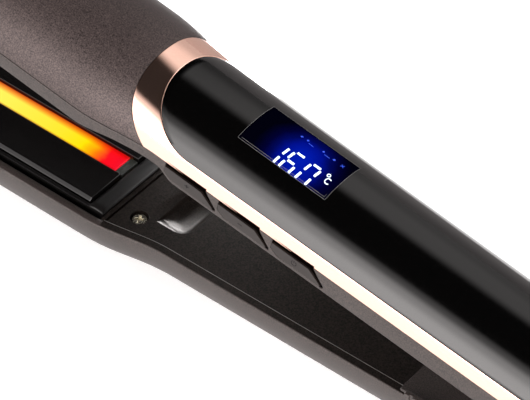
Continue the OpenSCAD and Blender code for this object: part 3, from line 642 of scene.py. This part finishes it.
def take_out(obj, tool):
    """Cuts the tool's shape out of a piece, then drops the tool."""
    mod = obj.modifiers.new("cut", "BOOLEAN")
    mod.operation = "DIFFERENCE"
    mod.solver = "EXACT"
    mod.object = tool
    dg = bpy.context.evaluated_depsgraph_get()
    mesh = bpy.data.meshes.new_from_object(obj.evaluated_get(dg))
    obj.modifiers.clear()
    old = obj.data
    obj.data = mesh
    bpy.data.meshes.remove(old)
    bpy.data.objects.remove(tool)
    mesh.set_sharp_from_angle(angle=SHARP)


def nose_xs():
    """Stations that follow the nose's rounding evenly, from just behind the tip."""
    turn = np.linspace(math.pi / 2, 0, NOSE_STEPS, endpoint=False)
    shares = np.minimum(np.sin(turn) ** (2 / 3), NOSE_FIRST)
    return [TIP_START - (TIP_START - TIP_X) * share for share in shares]


# ---------------------------------------------------------------- lower arm
low_us = nose_xs() + line(TIP_START, LOW_SHOULDER, 34) + line(LOW_SHOULDER, HANDLE_X, 14)[1:]
low_us += line(HANDLE_X, TAIL_ROUND_X, 60)[1:] + line(TAIL_ROUND_X, TAIL_END, 12)[1:]
low_vs = line(-90, -TABLE_FLAT_DEG, 22) + line(-TABLE_FLAT_DEG, TABLE_FLAT_DEG, 10)[1:-1]
low_vs += line(TABLE_FLAT_DEG, 90, 22)


def lower_point(x, a, t):
    w = np.maximum(LOW_LEAST, low_w(x) - t)
    d = np.maximum(LOW_LEAST, low_d(x) - t)
    p = sec(np.maximum(x, TIP_X + t), a, w, d)
    p[..., 2] = np.minimum(p[..., 2], LOW_RIM - t)
    return p


shell = skin("lower_shell_skin", lower_point, low_us, low_vs, wall=2.3, r=0.3, du=0.3, dv=1.0, move=lower)
place(shell, "lower_arm", "grey_shell", ["lower_shell"])
refine("lower_inner_cover", "lower_cover", 0.2)
refine("lower_tip_cover", "lower_tip_fill", 0.15)
refine("lower_cover_screws", "lower_cover_screw_heads", 0.12)
refine("lower_plate_carrier", "lower_carrier", 0.3)

BAR_INSET = 0.1                # the bar stands this far inside its carrier
BAR_GAP = 0.7                  # and this far behind the plate
BAR_FOOT = 0.05                # its underside's height above the rim
BAR_END_R = 2.2                # rounding of its two ends
BAR_RISE = (0.25, 0.75)        # height of its edges above the rim, and of its crown above them


def carrier_bar(name, body, move):
    """Rounded cross bar that closes the plate's bay."""
    half_y = CARRIER_HIGH.y - BAR_INSET
    x0, x1 = PLATE_REAR + BAR_GAP, CARRIER_HIGH.x - BAR_INSET
    mid, half_x = (x0 + x1) / 2, (x1 - x0) / 2
    ys = half_y * np.sin(np.radians(line(-90, 90, 40)))
    y, turn = np.meshgrid(ys, np.radians(line(0, 180, 14)), indexing="ij")
    from_end = np.clip((half_y - np.abs(y)) / BAR_END_R, 0, 1)
    round_end = np.sqrt(from_end * (2 - from_end))
    x = mid - half_x * np.cos(turn)
    top = -BAR_RISE[0] - BAR_RISE[1] * np.sin(turn) ** 0.8 * round_end
    bottom = np.full_like(y, -BAR_FOOT)
    obj = solid(name, np.stack([x, y, top], -1), np.stack([x, y, bottom], -1), move)
    return place(obj, body, "black_plastic")


carrier_bar("lower_carrier_bar", "lower_arm", lower)
refine("rear_cap", "tail_cap", 0.35)
refine("hinge_bracket", "hinge_bracket_metal", 0.2)
refine("pin_rings", "hinge_pin_rings", 0.12)
refine("hinge_pin", "hinge_pin_metal", 0.3)
refine("lower_plate", "lower_plate_ceramic", 0.25)
refine("ir_window", "infrared_strip", 0.12, mat="strip")
refine("ir_end_block", "infrared_end_block", 0.15, mat="end_block")
refine("cord_swivel", "cord_outlet", 0.2)
refine("lock_slider", "travel_lock", 0.25)


def tail_point(x, a, t):
    """The tail housing's hood, a little lower at its front end."""
    h = TAIL_RISE * tail_f(x) * mix(TAIL_LIP, 1, smooth((x - TAIL_FRONT) / TAIL_LIP_LEN))
    return sec(x, a, low_w(x) - t, h - t, TAIL_N)


def on_rim(p):
    """Puts a hood on the lower arm's rim."""
    return np.stack([p[..., 0], p[..., 1], p[..., 2] + LOW_RIM + SKIN_GAP], -1)


tail_us = line(TAIL_FRONT, TAIL_ROUND_X, 12) + line(TAIL_ROUND_X, TAIL_END, 12)[1:]
tail = skin("tail_housing_skin", tail_point, tail_us, line(-90, 90, 60), wall=1.9, r=0.3, du=0.3, dv=1.1,
            move=on_rim)
place(tail, "lower_arm", "tail_paint", ["tail_housing"])

# ---------------------------------------------------------------- upper arm: barrel and frame
BARREL_LEN = ARCH_TOP - TIP_X
barrel_us = [(x - TIP_X) / BARREL_LEN for x in nose_xs()] + line((TIP_START - TIP_X) / BARREL_LEN, 1, 40)
barrel_vs = line(SEAM_DEG - EDGE_DEG, EDGE_DEG - SEAM_DEG, 60)


def barrel_point(u, a, t):
    """u goes from the tip (0) to the gold band (1)."""
    return up_sec(TIP_X + (arch_x(a) - SKIN_GAP - TIP_X) * u, a, t)


barrel = skin("barrel_skin", barrel_point, barrel_us, barrel_vs, wall=2.0, r=0.22, du=0.0022, dv=0.75,
              move=upper)
place(barrel, "upper_arm", "barrel_paint", ["barrel_shell"])

side_xs = nose_xs() + line(TIP_START, UP_SHOULDER, 28) + line(UP_SHOULDER, HANDLE_X, 36)[1:]
side_xs += line(HANDLE_X, GRIP_ROUND_X, 60)[1:] + line(GRIP_ROUND_X, SKIN_END, 14)[1:]
frame_path = np.array([(x, 1) for x in reversed(side_xs)] + [(x, -1) for x in side_xs])


def lip(x):
    """Height of the side wall's lower edge."""
    lift = LIP_LIFT * smooth((x - UP_SHOULDER) / LIP_LIFT_LEN)
    return lift - (LIP_LIFT + LIP_DROP) * smooth((x - LIP_DROP_X) / LIP_DROP_LEN)


def frame_point(u, v, t):
    """u walks round the nose from the far rear end to the near one, and v goes from the lip (0)
    to the skins' edge (1)."""
    i = np.clip(np.round(u).astype(int), 0, len(frame_path) - 1)
    x, side = frame_path[i, 0], frame_path[i, 1]
    p = up_sec(x, mix(90, EDGE_DEG, np.clip((v - LIP_SHARE) / (1 - LIP_SHARE), 0, 1)), t)
    foot = np.clip(1 - v / LIP_SHARE, 0, 1)
    z = p[..., 2]
    p[..., 2] = np.where(lip(x) > 0, np.maximum(z, lip(x) + 0.5 * v), z + lip(x) * foot)
    p[..., 1] *= side
    return p


frame_us = list(range(len(frame_path)))
frame_vs = line(0, LIP_SHARE, 4) + line(LIP_SHARE, 1, 8)[1:]
skirt = skin("upper_skirt", frame_point, frame_us, frame_vs, wall=2.0, r=0.2, du=None, dv=0.04, move=upper)
for key_x in KEY_X:
    take_out(skirt, key_prism("cutter", OPENING, key_x, *KEY_CUT_Y))
place(skirt, "upper_arm", "grey_shell", ["upper_frame"])

# ---------------------------------------------------------------- upper arm: gold band and black panel
ARCH_COUNT = 72
ARCH_SIDE_X = HANDLE_X + 2     # from here back the band's sides need fewer stations
ARCH_STEPS = (0.6, 0.3)        # last step of its outer and its inner edge before the arch


def band_edge(side_end, side_deg, arch):
    """One long edge of the band as (x, degrees): along the near side, over the arch, and back."""
    xs = line(SKIN_END, GRIP_ROUND_X, 12) + line(GRIP_ROUND_X, ARCH_SIDE_X, 50)[1:]
    xs += line(ARCH_SIDE_X, side_end, 10)[1:]
    near, far = [(x, -side_deg) for x in xs], [(x, side_deg) for x in reversed(xs)]
    return np.array(near + arch + far)


outer_deg, inner_deg = EDGE_DEG - SEAM_DEG, PANEL_DEG + SEAM_DEG
outer_arch = [(arch_x(a), a) for a in line(-outer_deg, outer_deg, ARCH_COUNT)]
inner_arch = [(panel_x(b) - SKIN_GAP, inner_deg * math.sin(math.radians(b)))
              for b in line(-90, 90, ARCH_COUNT)]
outer_path = band_edge(arch_x(EDGE_DEG) + ARCH_STEPS[0], outer_deg, outer_arch)
inner_path = band_edge(panel_x(90) + ARCH_STEPS[1], inner_deg, inner_arch)


def band_point(u, v, t):
    """u walks along the band from the near rear end round the arch, and v crosses it from the
    barrel (0) to the panel (1)."""
    i = np.clip(np.round(u).astype(int), 0, len(outer_path) - 1)
    outer_x, outer_a = outer_path[i, 0], outer_path[i, 1]
    inner_x, inner_a = inner_path[i, 0], inner_path[i, 1]
    w = mix(up_w(outer_x), panel_w(inner_x), v) - t
    h = mix(up_h(outer_x), panel_h(inner_x), v) - t
    return sec(mix(outer_x, inner_x, v), mix(outer_a, inner_a, v), w, h, mix(up_n(outer_x), SEC_N, v))


band_us = list(range(len(outer_path)))
band = skin("rose_gold_band", band_point, band_us, line(0, 1, 12), wall=1.6, r=0.08, du=None, dv=0.02,
            move=upper)
place(band, "upper_arm", "rose_gold", ["gold_band"])


def panel_point(u, b, t):
    """u goes from the gold band (0) to the rear end (1), and b from side to side."""
    x = mix(panel_x(b), SKIN_END, u)
    return sec(x, PANEL_DEG * np.sin(np.radians(b)), panel_w(x) - t, panel_h(x) - t)


panel_us = line(0, 0.9, 70) + line(0.9, 1, 16)[1:]
panel = skin("gloss_panel_skin", panel_point, panel_us, line(-90, 90, 90), wall=1.8, r=0.15, du=0.001,
             dv=2.0, move=upper)
place(panel, "upper_arm", "black_gloss", ["gloss_panel"])


def window_ring(z):
    """Outline of the display window with rounded corners, at height z."""
    x0, x1 = WINDOW_X
    ring = []
    for i, (cx, cy) in enumerate([(x1, WINDOW_R), (x0, WINDOW_R), (x0, -WINDOW_R), (x1, -WINDOW_R)]):
        for k in range(4):
            a = math.radians(90 * i + 30 * k)
            x = cx + WINDOW_CORNER * (math.cos(a) - math.copysign(1, cx))
            y = cy + WINDOW_CORNER * (math.sin(a) - math.copysign(1, cy))
            ring.append([x, y, z])
    return upper(np.array(ring))


take_out(panel, loft("cutter", [window_ring(z) for z in WINDOW_CUT_Z]))


def on_panel(x, y, lift):
    """A point lift above the panel's face."""
    z = panel_h(x) * (1 - np.abs(np.abs(y) / panel_w(x)) ** SEC_N) ** (1 / SEC_N)
    return np.stack(np.broadcast_arrays(x, y, z + lift), -1)


def lens_point(x, y, t):
    return on_panel(x, y, -LENS_SUNK - t)


lens_us = line(WINDOW_X[0] + LENS_GAP, WINDOW_X[1] - LENS_GAP, 24)
lens_vs = line(LENS_GAP - WINDOW_R, WINDOW_R - LENS_GAP, 20)
lens = skin("display_window", lens_point, lens_us, lens_vs, wall=1.1, r=0.12, du=0.12, dv=0.12, move=upper)
place(lens, "upper_arm", "lens", ["display_lens"])

refine("upper_inner_cover", "upper_cover", 0.15)
refine("upper_tip_cover", "upper_tip_fill", 0.15)
refine("upper_cover_screws", "upper_cover_screw_heads", 0.12)
refine("upper_plate_carrier", "upper_carrier", 0.3)
carrier_bar("upper_carrier_bar", "upper_arm", upper)
refine("upper_plate", "upper_plate_ceramic", 0.25)
refine("grip_end_cap", "handle_end_cap", 0.3)
refine("hinge_ears", "hinge_ears_metal", 0.2)

# ---------------------------------------------------------------- keys
for key_name in KEY_NAMES:
    refine(key_name + "_button", key_name + "_key", 0.18, mat="button")

# a dark fill in each key's opening is painted shade of the gap round the key
for key_name, key_x in zip(KEY_NAMES, KEY_X):
    gap_shade_y = GAP_SHADE_SUNK - grip_w(key_x + KEY_MIDDLE)
    gap_shade = key_prism(key_name + "_seal", GAP_SHADE, key_x, gap_shade_y, GAP_SHADE_BACK_Y)
    take_out(gap_shade, key_prism("cutter", KEY_HOLE, key_x, *KEY_CUT_Y))
    place(gap_shade, "upper_arm", "gap")


# ---------------------------------------------------------------- lines and marks laid on faces
def seg(x0, y0, x1, y1, n=5):
    """Points along a straight line."""
    return [(mix(x0, x1, k / n), mix(y0, y1, k / n)) for k in range(n + 1)]


def arc(cx, cy, rx, ry, a0, a1, n=20):
    """Points along an arc."""
    turn = np.radians(line(a0, a1, n))
    return list(zip(cx + rx * np.cos(turn), cy + ry * np.sin(turn)))


def strokes(name, lines, width, lift, thick, body, mat, face, move):
    """Flat raised bars along lines of (x, y) points, laid on the surface face(x, y, lift)."""
    bm = bmesh.new()
    for points in lines:
        p = np.array(points, float)
        closed = len(p) > 2 and np.allclose(p[0], p[-1])
        d = np.gradient(p, axis=0)
        if closed:
            d[0] = d[-1] = p[1] - p[-2]
        d /= np.linalg.norm(d, axis=1)[:, None]
        sideways = np.stack([-d[:, 1], d[:, 0]], -1) * width / 2
        rings = []
        for a, b in zip(p + sideways, p - sideways):
            ring = [face(*a, lift), face(*b, lift), face(*b, lift - thick), face(*a, lift - thick)]
            rings.append([bm.verts.new(c) for c in move(np.array(ring)) * MM])
        if closed:
            for v in rings[-1]:
                bm.verts.remove(v)
            rings[-1] = rings[0]
        for r0, r1 in zip(rings, rings[1:]):
            for k in range(4):
                bm.faces.new((r0[k], r0[(k + 1) % 4], r1[(k + 1) % 4], r1[k]))
        if not closed:
            bm.faces.new(rings[0])
            bm.faces.new(rings[-1])
    return place(to_object(name, bm), body, mat)


def on_display(name, lines, width, lift, thick, mat):
    return strokes(name, lines, width, lift, thick, "upper_arm", mat, on_panel, upper)


# The digits lean by SLANT, and their bars stand at these heights across the arm
SLANT = 0.11
DIGIT_W = 2.95
TOP, MIDDLE, BOTTOM = -1.15, -4.22, -6.6


def digit(x, parts):
    """Bars of one digit whose left edge stands at x on the middle line."""
    bars = {
        "top": seg(x + 0.86, TOP + 0.05, x + DIGIT_W - 0.02, TOP + 0.05),
        "middle": seg(x + 0.42, MIDDLE, x + DIGIT_W - 0.62, MIDDLE)}
    for side, edge in (("left", x), ("right", x + DIGIT_W)):
        bars["upper " + side] = seg(edge + SLANT * 2.75, TOP - 0.44, edge + SLANT * 0.5, MIDDLE + 0.55)
        foot = edge + SLANT * (BOTTOM - MIDDLE)
        bars["lower " + side] = seg(edge - SLANT * 0.55, MIDDLE - 0.56, foot, BOTTOM)
    return [bars[part] for part in parts]


number = digit(-1.35 - DIGIT_W, ["upper right", "lower right"])
number += digit(0.28, ["upper left", "top", "middle", "lower left", "lower right"])
number += digit(5.30, ["upper left", "top", "upper right", "lower left", "lower right"])
on_display("display_number", number, width=0.56, lift=0.0, thick=0.06, mat="digit")
degree_sign = arc(10.75, -1.15, 0.42, 0.42, 0, 360)
unit_letter = arc(11.65, -2.62, 0.72, 0.82, 48, 318)
on_display("display_unit", [degree_sign, unit_letter], width=0.17, lift=0.0, thick=0.06, mat="digit")
dots = [seg(-1.62, 3.6, -1.3, 4.05), seg(0.12, 3.75, 0.5, 4.1), seg(4.95, 3.7, 5.3, 4.1),
        seg(8.3, 3.5, 8.65, 3.95)]
on_display("display_icons", dots, width=0.5, lift=-0.02, thick=0.05, mat="dim_mark")
bars = [seg(1.0, 3.3, 2.5, 3.2), seg(5.8, 3.3, 7.4, 3.25), seg(10.7, 3.25, 11.5, 4.0),
        seg(10.7, 4.0, 11.5, 3.25)]
on_display("display_icon_lines", bars, width=0.16, lift=-0.03, thick=0.04, mat="dim_mark")

# a thin light line inside the window along two of its sides, and one round its edge: both are painted highlights
# of the window's edges
x0, x1, y1 = WINDOW_X[0] + 0.75, WINDOW_X[1] - 0.6, WINDOW_R - 0.5
near_side, short_end = seg(x0, -y1, x1, -y1, 20), seg(x1, -y1, x1, -y1 + 0.9, 4)
inner_line = [near_side, short_end]
on_display("display_inner_line", inner_line, width=0.05, lift=-0.05, thick=0.04, mat="edge_light_line")
x0, x1, y1 = WINDOW_X[0] - 0.05, WINDOW_X[1] + 0.05, WINDOW_R + 0.05
outline = seg(x0, -y1, x1, -y1, 24)
for stop in (x1, y1), (x0, y1), (x0, -y1):
    outline += seg(*outline[-1], *stop, 24)[1:]
on_display("display_outline", [outline], width=0.06, lift=0.012, thick=0.06, mat="edge_light_line")


def on_rim_plane(x, y, lift):
    return np.array([x, y, -lift])


def along_rim(name, inset, width, mat):
    """A bar on each side of the lower cover, inset from the arm's outer face."""
    lines = [[(x, side * (arm_w(x, LOW_SHOULDER) - inset)) for x in line(*RIM_LINE_X, 80)]
             for side in (-1, 1)]
    strokes(name, lines, width, lift=0.03, thick=0.3, body="lower_arm", mat=mat,
            face=on_rim_plane, move=lower)


# a thin light line along each side of the cover: painted highlight of the shell's inner edge
along_rim("cover_edge_painted_highlight", inset=2.42, width=0.10, mat="edge_highlight")
# a dark strip in the cover's colour laid over the grey shell's rim: painted shade on the rim's top face
along_rim("lower_rim_painted_shade", inset=1.33, width=1.95, mat="inner_cover")


def key_face(key_x):
    """The surface of a key's side face, whose lines are (x, z) points."""
    face_y = -grip_w(key_x + KEY_MIDDLE) - KEY_PROUD
    return lambda x, z, lift: np.array([x, face_y - lift, z])


for key_name, key_x in zip(KEY_NAMES, KEY_X):
    cx, cz = key_x + MARK_AT[0], MARK_AT[1]
    across = seg(cx - MARK_R, cz, cx + MARK_R, cz, 2)
    upright = seg(cx, cz - MARK_R, cx, cz + MARK_R, 2)
    power = [arc(cx, cz, POWER_MARK_R, POWER_MARK_R, 120, 420), seg(cx, cz + 0.2, cx, cz + 0.95, 2)]
    mark = {"plus": [across, upright], "minus": [across], "power": power}[key_name]
    strokes(key_name + "_symbol", mark, width=0.2, lift=0.015, thick=0.05, body=key_name + "_key",
            mat="mark", face=key_face(key_x), move=upper)

# ---------------------------------------------------------------- everything inside keeps its CAD shape
for obj in frame["nodes"].values():
    if not obj.hide_render:
        slot_name = obj.data.materials[0].name if obj.data.materials else "black_plastic"
        obj.data.materials.clear()
        obj.data.materials.append(mats[slot_name])

# ---------------------------------------------------------------- floor and light, in metres from here on
bpy.context.scene.view_settings.view_transform = "Standard"
FLOOR_R = 6.0
FLOOR_GLOW = 0.42

bm = bmesh.new()
bmesh.ops.create_grid(bm, x_segments=4, y_segments=4, size=FLOOR_R)
floor = to_object("studio_floor", bm)
floor_mat = surface("floor_pale", grey(0.86), grey(0.90), 40.0, rough=(0.7, 0.85))
floor_shader = floor_mat.node_tree.nodes["Principled BSDF"]
floor_shader.inputs["Emission Color"].default_value = (1, 1, 1, 1)
floor_shader.inputs["Emission Strength"].default_value = FLOOR_GLOW
floor.data.materials.append(floor_mat)

# a dark flag keeps the far edges of the tool from mirroring the floor
bm = bmesh.new()
flag_corners = [(-0.6, 0.16, 0.0), (0.6, 0.16, 0.0), (0.6, 0.24, 0.16), (-0.6, 0.24, 0.16)]
bm.faces.new([bm.verts.new(c) for c in flag_corners])
flag = to_object("studio_flag", bm)
flag.data.materials.append(lit("flag_grey", (0.16, 0.15, 0.15), 1.0))
flag.visible_camera = False
flag.visible_diffuse = False
flag.visible_shadow = False


def softbox(name, at, look, size, power, glossy=True):
    """A rectangular lamp that faces the point look; glossy says whether surfaces mirror it."""
    data = bpy.data.lights.new(name, "AREA")
    data.shape = "RECTANGLE"
    data.size, data.size_y = size
    data.energy = power
    obj = bpy.data.objects.new(name, data)
    obj.location = at
    obj.rotation_euler = (Vector(look) - Vector(at)).to_track_quat("-Z", "Y").to_euler()
    obj.visible_camera = False
    obj.visible_glossy = glossy
    bpy.context.scene.collection.objects.link(obj)


# The walls and the ceiling of the studio are a sky that only depends on its direction
SKY_SPAN = 110                 # degrees from overhead that the stops below can reach
SKY_COLOUR = (1.0, 0.955, 0.94, 1)
WALL_STRENGTH = 8.2
LAMP_STRENGTH = 3.6
# (degrees from overhead, brightness); negative is towards the near side
WALL_STOPS = [(-90, 1.0), (-74, 0.95), (-58, 0.60), (-44, 0.15), (-33, 0.004), (60, 0.004), (90, 0.05)]
LAMP_STOPS = [(18, 0.0), (33, 1.0), (43, 0.95), (60, 0.60), (80, 0.45), (92, 0.0)]
# (share of the way from the tip's side to the cord's side, brightness)
LAMP_REACH = [(0.32, 0.0), (0.40, 0.30), (0.65, 0.34), (0.75, 1.0)]
WALL_REACH = [(0.27, 0.40), (0.40, 1.0)]

world = bpy.data.worlds.new("studio")
bpy.context.scene.world = world
world.use_nodes = True
wt = world.node_tree
wt.nodes.clear()
sky = node(wt, "ShaderNodeTexCoord").outputs["Generated"]
axes = node(wt, "ShaderNodeSeparateXYZ", Vector=sky)
from_overhead = maths(wt, "ARCTAN2", axes.outputs[1], axes.outputs[2])
lengthwise = spread(wt, axes.outputs[0], source=(-1, 1))


def brightness(share, stops):
    return ramp(wt, share, [(at, grey(v)) for at, v in stops], "EASE")


def across_sky(stops):
    span = math.radians(SKY_SPAN)
    shares = [((deg + SKY_SPAN) / (2 * SKY_SPAN), v) for deg, v in stops]
    return brightness(spread(wt, from_overhead, source=(-span, span)), shares)


lamp = maths(wt, "MULTIPLY", across_sky(LAMP_STOPS), brightness(lengthwise, LAMP_REACH))
walls = maths(wt, "MULTIPLY", across_sky(WALL_STOPS), brightness(lengthwise, WALL_REACH))
glow = maths(wt, "MULTIPLY_ADD", walls, WALL_STRENGTH, maths(wt, "MULTIPLY", lamp, LAMP_STRENGTH))
back = node(wt, "ShaderNodeBackground", Color=SKY_COLOUR, Strength=glow)
node(wt, "ShaderNodeOutputWorld", Surface=back.outputs[0])

STUDIO_MIDDLE = (0, 0, 0.03)
softbox("overhead_softbox", (0.2, 0.3, 2.4), STUDIO_MIDDLE, size=(3.0, 3.0), power=52, glossy=False)
softbox("far_softbox", (-0.75, 1.15, 0.24), STUDIO_MIDDLE, size=(1.0, 0.26), power=4)
# a small card between the arms, mirrored by the edge of the scoop in the lower cover
softbox("scoop_card", (-0.052, 0.048, 0.030), (-0.028, -0.006, 0.0165), size=(0.034, 0.014), power=0.036)
softbox("left_softbox", (-1.5, 0.2, 1.0), STUDIO_MIDDLE, size=(0.8, 1.2), power=8, glossy=False)

# ---------------------------------------------------------------- camera
AZIMUTH, ELEVATION, ROLL = (math.radians(v) for v in (38.89, 44.74, 0.48))
TARGET = Vector((-0.00500, 0, 0.03462))
DISTANCE = 0.79266
FOCAL_MM = 222.04

ca, sa, ce, se = math.cos(AZIMUTH), math.sin(AZIMUTH), math.cos(ELEVATION), math.sin(ELEVATION)
away = Vector((sa * ce, -ca * ce, se))
level_right = Vector((ca, sa, 0))
level_up = away.cross(level_right)
right = level_right * math.cos(ROLL) + level_up * math.sin(ROLL)
up = level_up * math.cos(ROLL) - level_right * math.sin(ROLL)
cam_data = bpy.data.cameras.new("camera")
cam_data.sensor_width = 36.0
cam_data.lens = FOCAL_MM
cam_data.clip_start = 0.01
camera = bpy.data.objects.new("camera", cam_data)
turned = Matrix((right, up, away)).transposed().to_4x4()
camera.matrix_world = Matrix.Translation(TARGET + away * DISTANCE) @ turned
bpy.context.scene.collection.objects.link(camera)
bpy.context.scene.camera = camera
